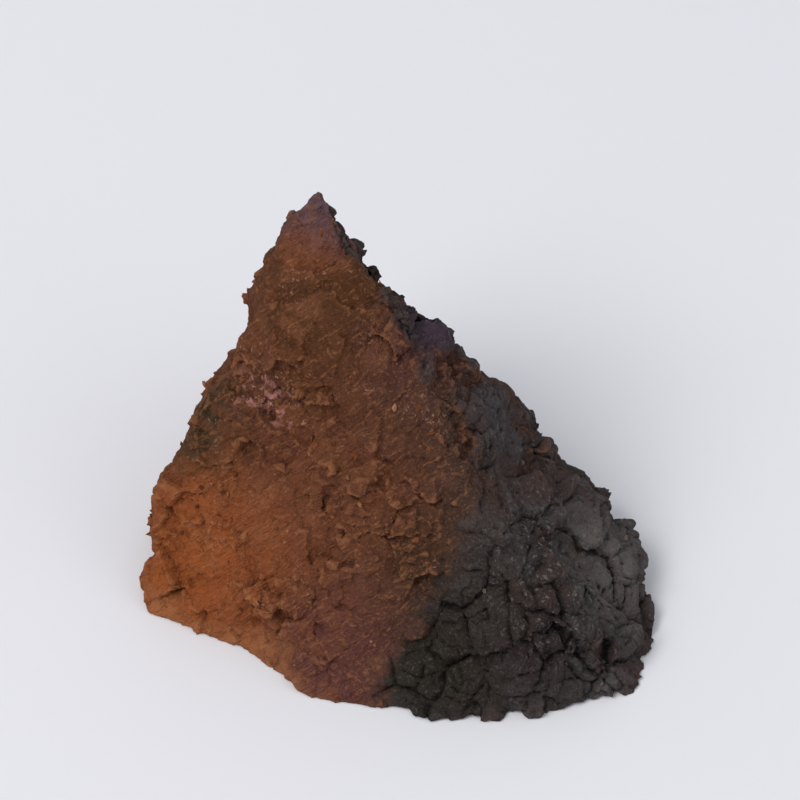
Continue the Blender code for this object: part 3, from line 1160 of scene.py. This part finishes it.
@dataclass(frozen=True)
class Crumbs:
    """Crumbs that cling to the chunk, half sunk into it. Lengths in millimetres."""

    per_square: float = 5.0
    least: float = 0.014
    most: float = 0.050
    flattest: Point = (1.4, 0.8, 0.4)
    longest: Point = (1.5, 1.0, 0.6)
    favour_small: float = 2.2
    raggedness: float = 3.0
    ragged_size: float = 0.030
    facing_up: Rise = Rise(-0.2, 0.7, 0.15, 1.0)
    off_foot: Rise = Rise(0.12, 0.25)
    seed: int = 11

    def build(self, chunk: bpy.types.Mesh, material: bpy.types.Material) -> bpy.types.Mesh:
        """Strews the crumbs over the chunk.

        Args:
            chunk: Mesh of the chunk, in millimetres.
            material: Finish of the crumbs.

        Returns:
            The mesh of all crumbs, in millimetres.
        """
        work = new_object("crumbs_work", chunk.copy())
        strew = work.modifiers.new("strew", "NODES")
        strew.node_group = self.tree()
        set_input(strew, "Crumbs per square", self.per_square)
        set_input(strew, "Least size", self.least)
        set_input(strew, "Most size", self.most)
        set_input(strew, "Finish", material)
        return taken_mesh(work)

    def tree(self) -> bpy.types.GeometryNodeTree:
        """Makes the tree that strews them.

        Returns:
            The tree. Its inputs are the mesh, the crumbs per square millimetre, their sizes and their finish.
        """
        numbers = ("Crumbs per square", "Least size", "Most size")
        inputs = {**dict.fromkeys(numbers, Input.NUMBER), "Finish": Input.FINISH}
        graph, given = new_tree("crumb_strew", inputs)
        real = graph.add("GeometryNodeRealizeInstances", {"Geometry": self.placed(graph, given)}).outputs[0]
        reach = graph.product(given.outputs["Least size"], self.raggedness)
        ragged = graph.moved(real, graph.scaled(graph.swirls(graph.here(), self.ragged_size), reach))
        graph.finished(ragged, given.outputs["Finish"])
        return graph.tree

    def placed(self, graph: Graph, given: Node) -> Socket:
        """Crumbs at their places, each with its size, its turn and its tone.

        Args:
            graph: The tree to add to.
            given: The tree's inputs.

        Returns:
            The crumbs as instances.
        """
        crumb = graph.add("GeometryNodeMeshIcoSphere", {"Radius": 1.0, "Subdivisions": 1}).outputs["Mesh"]
        least = graph.scaled(self.flattest, given.outputs["Least size"])
        most = graph.scaled(self.longest, given.outputs["Most size"])
        share = graph.math("POWER", self.chance(graph, 1), self.favour_small)
        size = graph.add("ShaderNodeMix", {0: share, 4: least, 5: most}, data_type="VECTOR").outputs[1]
        inputs = {0: (0.0, 0.0, 0.0), 1: (math.tau, math.tau, math.tau), "Seed": self.seed + 2}
        turned = graph.add("FunctionNodeRandomValue", inputs, data_type="FLOAT_VECTOR").outputs[0]
        inputs = {"Points": self.points(graph, given), "Instance": crumb, "Rotation": turned, "Scale": size}
        instances = graph.add("GeometryNodeInstanceOnPoints", inputs).outputs[0]
        return graph.keep(instances, TONE, self.chance(graph, 3), "INSTANCE")

    def chance(self, graph: Graph, draw: int) -> Socket:
        """A random number from 0 to 1 for each point, from a draw of its own."""
        inputs = {2: 0.0, 3: 1.0, "Seed": self.seed + draw}
        return graph.add("FunctionNodeRandomValue", inputs, data_type="FLOAT").outputs[1]

    def points(self, graph: Graph, given: Node) -> Socket:
        """Places of the crumbs: all over, but for the foot, and more of them where the surface looks up.

        Args:
            graph: The tree to add to.
            given: The tree's inputs.

        Returns:
            The points.
        """
        upward = self.facing_up.of(graph, graph.dot(graph.normal(), (0.0, 0.0, 1.0)))
        above = self.off_foot.of(graph, graph.parts(graph.here())[2])
        density = graph.product(upward, above, given.outputs["Crumbs per square"])
        inputs = {"Mesh": given.outputs["Geometry"], "Density": density, "Seed": self.seed}
        return graph.add("GeometryNodeDistributePointsOnFaces", inputs, distribute_method="RANDOM").outputs[0]


@dataclass(frozen=True)
class PaleSweep:
    """Plain pale floor that sweeps up all round. Lengths in metres."""

    middle_radius: float = 0.075
    floor_radius: float = 0.30
    bend_radius: float = 0.18
    wall_height: float = 0.30
    sides: int = 96
    bend_steps: int = 16
    below_foot: float = 0.00001
    colour: Colour = (0.85, 0.85, 0.88)
    shade_factor: float = 0.985
    shade: Patches = Patches(Cloud(40.0, 2.0), Rise(0.3, 0.7))
    gloss: float = 0.1
    roughness: float = 0.9

    def build(self) -> bpy.types.Object:
        """Makes the floor.

        Returns:
            The floor's object.
        """
        bm = bmesh.new()
        rings = [self.ring(bm, radius, height) for radius, height in self.profile()]
        bm.faces.new(rings[0])
        for inner, outer in zip(rings, rings[1:]):
            for side in range(self.sides):
                following = (side + 1) % self.sides
                bm.faces.new((inner[side], outer[side], outer[following], inner[following]))
        bmesh.ops.recalc_face_normals(bm, faces=bm.faces[:])
        mesh = bpy.data.meshes.new("pale_sweep")
        bm.to_mesh(mesh)
        bm.free()
        mesh.shade_smooth()
        mesh.materials.append(self.paint())
        floor = new_object("pale_sweep", mesh)
        floor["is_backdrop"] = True
        return floor

    def profile(self) -> list[tuple[float, float]]:
        """Radius and height of each ring, from the flat floor up the bend to the top of the wall.

        Returns:
            The radii and heights.
        """
        base = -self.below_foot
        points = [(self.middle_radius, base), (self.floor_radius, base)]
        for step in range(1, self.bend_steps + 1):
            angle = 0.5 * math.pi * step / self.bend_steps
            radius = self.floor_radius + self.bend_radius * math.sin(angle)
            points.append((radius, base + self.bend_radius * (1.0 - math.cos(angle))))
        points.append((points[-1][0], self.wall_height))
        return points

    def ring(self, bm: bmesh.types.BMesh, radius: float, height: float) -> list[bmesh.types.BMVert]:
        """Adds a level ring of points to a mesh."""
        angles = [math.tau * side / self.sides for side in range(self.sides)]
        return [bm.verts.new((radius * math.cos(a), radius * math.sin(a), height)) for a in angles]

    def paint(self) -> bpy.types.Material:
        """Makes the floor's matte paint.

        Returns:
            The material.
        """
        material, graph, shader = new_finish("pale_paint", self.gloss, self.roughness)
        cloud = self.shade.share(graph, graph.on_piece())
        darker = tuple(self.shade_factor * part for part in self.colour)
        graph.feed(shader.inputs["Base Color"], graph.tint(cloud, self.colour, darker))
        return material


@dataclass(frozen=True)
class SoftLight:
    """A square soft light: degrees turned right of the front, degrees up, distance and size in metres."""

    name: str
    turn: float
    tilt: float
    distance: float
    size: float
    watts: float
    colour: Colour

    def build(self, target: Vector) -> bpy.types.Object:
        """Makes the light.

        Args:
            target: The point that it shines at.

        Returns:
            The light's object.
        """
        lamp = bpy.data.lights.new(self.name, "AREA")
        lamp.shape = "SQUARE"
        lamp.size = self.size
        lamp.energy = self.watts
        lamp.color = self.colour
        light = bpy.data.objects.new(self.name, lamp)
        bpy.context.scene.collection.objects.link(light)
        away = direction(self.turn, self.tilt)
        light.location = target + away * self.distance
        light.rotation_euler = away.to_track_quat("Z", "Y").to_euler()
        return light


@dataclass(frozen=True)
class Studio:
    """Floor, lights and surroundings that the chunk is shown in."""

    floor: PaleSweep = PaleSweep()
    lights: tuple[SoftLight, ...] = (
        SoftLight("key_light", -48, 52, 0.16, 0.09, 0.145, (1.0, 0.99, 0.975)),
        SoftLight("fill_light", 60, 40, 0.20, 0.16, 0.040, (0.97, 0.98, 1.0)),
    )
    surroundings: Colour = (0.93, 0.95, 1.0)
    surroundings_strength: float = 0.55

    def build(self, target: Vector) -> None:
        """Makes the studio.

        Args:
            target: The point that the lights shine at.
        """
        self.floor.build()
        for light in self.lights:
            light.build(target)
        world = bpy.data.worlds.new("pale_surroundings")
        world.use_nodes = True
        background = world.node_tree.nodes["Background"]
        background.inputs["Color"].default_value = (*self.surroundings, 1.0)
        background.inputs["Strength"].default_value = self.surroundings_strength
        scene = bpy.context.scene
        scene.world = world
        scene.view_settings.view_transform = "Standard"


@dataclass(frozen=True)
class PhotoCamera:
    """Camera at the photograph's viewing angle, which looks down at the chunk from the front."""

    turn: float = 0.0
    tilt: float = 45.4
    lens: float = 400.0
    sensor: float = 36.0
    width_share: float = 0.66
    clip_start: float = 0.001
    clip_end: float = 5.0

    def build(self, lowest: Vector, highest: Vector) -> bpy.types.Object:
        """Makes the scene's camera.

        Args:
            lowest: Lowest corner of the object.
            highest: Highest corner of the object.

        Returns:
            The camera's object.
        """
        lens = bpy.data.cameras.new("photo_camera")
        lens.lens = self.lens
        lens.sensor_width = self.sensor
        lens.clip_start = self.clip_start
        lens.clip_end = self.clip_end
        camera = bpy.data.objects.new("photo_camera", lens)
        bpy.context.scene.collection.objects.link(camera)
        away = direction(self.turn, self.tilt)
        width = highest.x - lowest.x
        distance = width * self.lens / (self.sensor * self.width_share)
        camera.location = (lowest + highest) / 2 + away * distance
        camera.rotation_euler = away.to_track_quat("Z", "Y").to_euler()
        bpy.context.scene.camera = camera
        return camera


def direction(turn: float, tilt: float) -> Vector:
    """Direction from the object, by degrees turned to the right of the front and degrees up."""
    around, up = math.radians(turn), math.radians(tilt)
    return Vector((math.sin(around) * math.cos(up), -math.cos(around) * math.cos(up), math.sin(up)))


def new_object(name: str, mesh: bpy.types.Mesh) -> bpy.types.Object:
    """Adds an object with a mesh to the scene.

    Args:
        name: Name of the object.
        mesh: Its mesh.

    Returns:
        The object.
    """
    made = bpy.data.objects.new(name, mesh)
    bpy.context.scene.collection.objects.link(made)
    return made


def new_finish(name: str, gloss: float, roughness: float) -> tuple[bpy.types.Material, Graph, Node]:
    """Makes a material to be wired.

    Args:
        name: Name of the material.
        gloss: Specular level of its shader.
        roughness: Roughness of its shader.

    Returns:
        The material, its tree and its shader.
    """
    material = bpy.data.materials.new(name)
    material.use_nodes = True
    shader = material.node_tree.nodes["Principled BSDF"]
    shader.inputs["Specular IOR Level"].default_value = gloss
    shader.inputs["Roughness"].default_value = roughness
    return material, Graph(material.node_tree), shader


def new_tree(name: str, inputs: dict[str, Input]) -> tuple[Graph, Node]:
    """Makes a Geometry Nodes tree that takes a mesh and gives one.

    Args:
        name: Name of the tree.
        inputs: Name and kind of each input beside the mesh.

    Returns:
        The tree to be wired, and the node of its inputs.
    """
    tree = bpy.data.node_groups.new(name, "GeometryNodeTree")
    tree.is_modifier = True
    for label, kind in {"Geometry": Input.MESH, **inputs}.items():
        tree.interface.new_socket(label, in_out="INPUT", socket_type=kind.value)
    tree.interface.new_socket("Geometry", in_out="OUTPUT", socket_type=Input.MESH.value)
    graph = Graph(tree)
    return graph, graph.add("NodeGroupInput")


def set_input(modifier: bpy.types.NodesModifier, name: str, value: Value) -> None:
    """Sets an input of a Geometry Nodes modifier by its socket's identifier.

    Args:
        modifier: The modifier.
        name: Name of the input.
        value: What it is set to.
    """
    for item in modifier.node_group.interface.items_tree:
        if item.item_type == "SOCKET" and item.in_out == "INPUT" and item.name == name:
            modifier[item.identifier] = value


def taken_mesh(work: bpy.types.Object) -> bpy.types.Mesh:
    """Turns what an object's modifiers make into a plain mesh, and removes the object.

    Args:
        work: The object.

    Returns:
        The plain mesh.
    """
    evaluated = work.evaluated_get(bpy.context.evaluated_depsgraph_get())
    mesh = bpy.data.meshes.new_from_object(evaluated)
    bpy.data.objects.remove(work)
    return mesh


def add_piece(name: str, mesh: bpy.types.Mesh) -> bpy.types.Object:
    """Makes a finished piece of a mesh in millimetres.

    Args:
        name: Name of the piece.
        mesh: Its mesh, in millimetres.

    Returns:
        The piece, in metres, which rides on the chunk's body.
    """
    mesh.transform(Matrix.Scale(1.0 / MM_PER_M, 4))
    mesh.name = name
    piece = new_object(name, mesh)
    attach(piece, BODY)
    log.info("%s: %d triangles", name, sum(len(face.vertices) - 2 for face in mesh.polygons))
    return piece


def main() -> None:
    """Builds the chunk, its crumbs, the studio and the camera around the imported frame."""
    logging.basicConfig(level=logging.INFO, format="%(message)s")
    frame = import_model()
    solid_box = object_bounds()
    chunk_mesh = ChunkBody().build(frame["nodes"][NODE], ChagaFinish().build())
    crumb_mesh = Crumbs().build(chunk_mesh, CrumbFinish().build())
    chunk_mesh.shade_smooth()
    crumb_mesh.shade_flat()
    chunk = add_piece("torn_chunk", chunk_mesh)
    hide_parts(NODE)
    add_piece("clinging_crumbs", crumb_mesh)
    lowest, highest = solid_box
    Studio().build((lowest + highest) / 2)
    PhotoCamera().build(lowest, highest)


if __name__ == "__main__":
    main()
